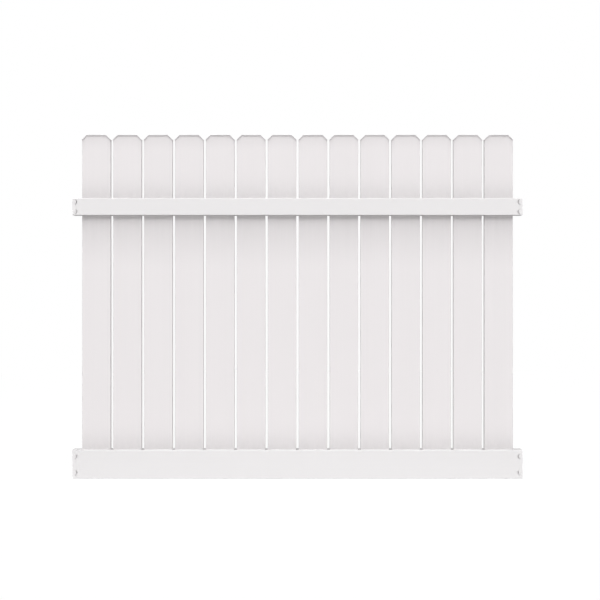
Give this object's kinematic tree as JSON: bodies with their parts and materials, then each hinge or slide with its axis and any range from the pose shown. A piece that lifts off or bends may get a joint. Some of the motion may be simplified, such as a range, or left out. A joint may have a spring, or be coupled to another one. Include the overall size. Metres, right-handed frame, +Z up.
{
  "type": "semi-privacy fence panel",
  "caption": "White vinyl semi-privacy fence panel: hollow dog-ear pickets with narrow gaps pass through a top rail into a taller bottom rail; rail ends have locking lugs.",
  "frame": {"origin": "middle of the bottom edge of the bottom rail's left end face, where the rail seats in a post", "axes": "+X along the panel towards its right end, +Y from the front face to the back, +Z up"},
  "size_m": [2.3939, 0.0598, 1.8308],
  "materials": {
    "picket_vinyl": "white extruded vinyl, satin sheen, fine lines along its length",
    "cap_vinyl": "white moulded vinyl, fine matt texture",
    "rail_vinyl": "white extruded vinyl, satin sheen, fine lines along its length"
  },
  "bodies": {
    "root": {"picket_01": "picket_vinyl", "picket_02": "picket_vinyl", "picket_03": "picket_vinyl", "picket_04": "picket_vinyl", "picket_05": "picket_vinyl", "picket_06": "picket_vinyl", "picket_07": "picket_vinyl", "picket_08": "picket_vinyl", "picket_09": "picket_vinyl", "picket_10": "picket_vinyl", "picket_11": "picket_vinyl", "picket_12": "picket_vinyl", "picket_13": "picket_vinyl", "picket_14": "picket_vinyl", "picket_cap_01": "cap_vinyl", "picket_cap_02": "cap_vinyl", "picket_cap_03": "cap_vinyl", "picket_cap_04": "cap_vinyl", "picket_cap_05": "cap_vinyl", "picket_cap_06": "cap_vinyl", "picket_cap_07": "cap_vinyl", "picket_cap_08": "cap_vinyl", "picket_cap_09": "cap_vinyl", "picket_cap_10": "cap_vinyl", "picket_cap_11": "cap_vinyl", "picket_cap_12": "cap_vinyl", "picket_cap_13": "cap_vinyl", "picket_cap_14": "cap_vinyl", "bottom_rail": "rail_vinyl", "top_rail": "rail_vinyl"}
  },
  "joints": []
}
